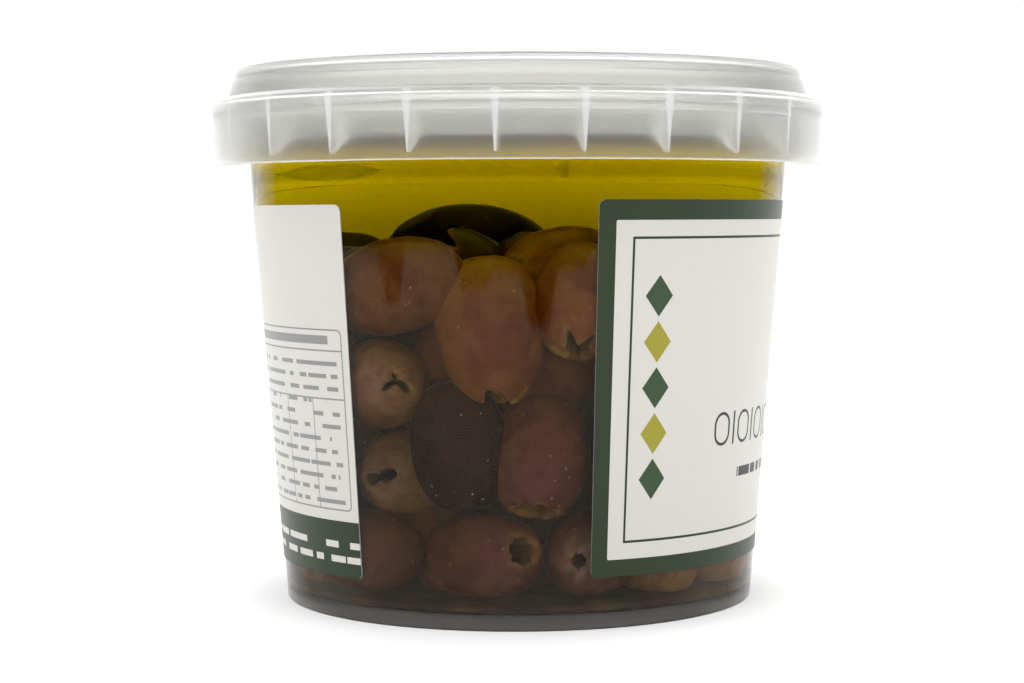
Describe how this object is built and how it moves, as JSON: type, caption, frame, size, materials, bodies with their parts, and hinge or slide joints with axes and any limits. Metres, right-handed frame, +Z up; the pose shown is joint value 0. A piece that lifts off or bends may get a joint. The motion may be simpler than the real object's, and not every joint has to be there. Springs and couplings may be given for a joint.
{
  "type": "tub of olives",
  "caption": "Shut clear plastic tub of pitted dark olives in oil, with a hazy snap lid, a ribbed security band round the rim and two stuck-on labels.",
  "frame": {"origin": "centre of the foot, on the surface that the tub stands on", "axes": "+Z up along the tub's axis; the side with the gap between the two labels faces -Y, with the front label towards +X"},
  "size_m": [0.1184, 0.1184, 0.1018],
  "materials": {
    "clear_plastic": "clear, glossy, a little hazy in the band",
    "hazy_plastic": "milky and translucent, satin",
    "front_label": "satin printed label, dark green border round a white field",
    "back_label": "satin white label with a dark green foot",
    "olive_skin": "wet purple-brown olive skin, mottled"
  },
  "bodies": {
    "root": {"tub": "clear_plastic", "lid": "hazy_plastic", "label_front": "front_label", "label_back": "back_label", "olives": "olive_skin"}
  },
  "joints": []
}
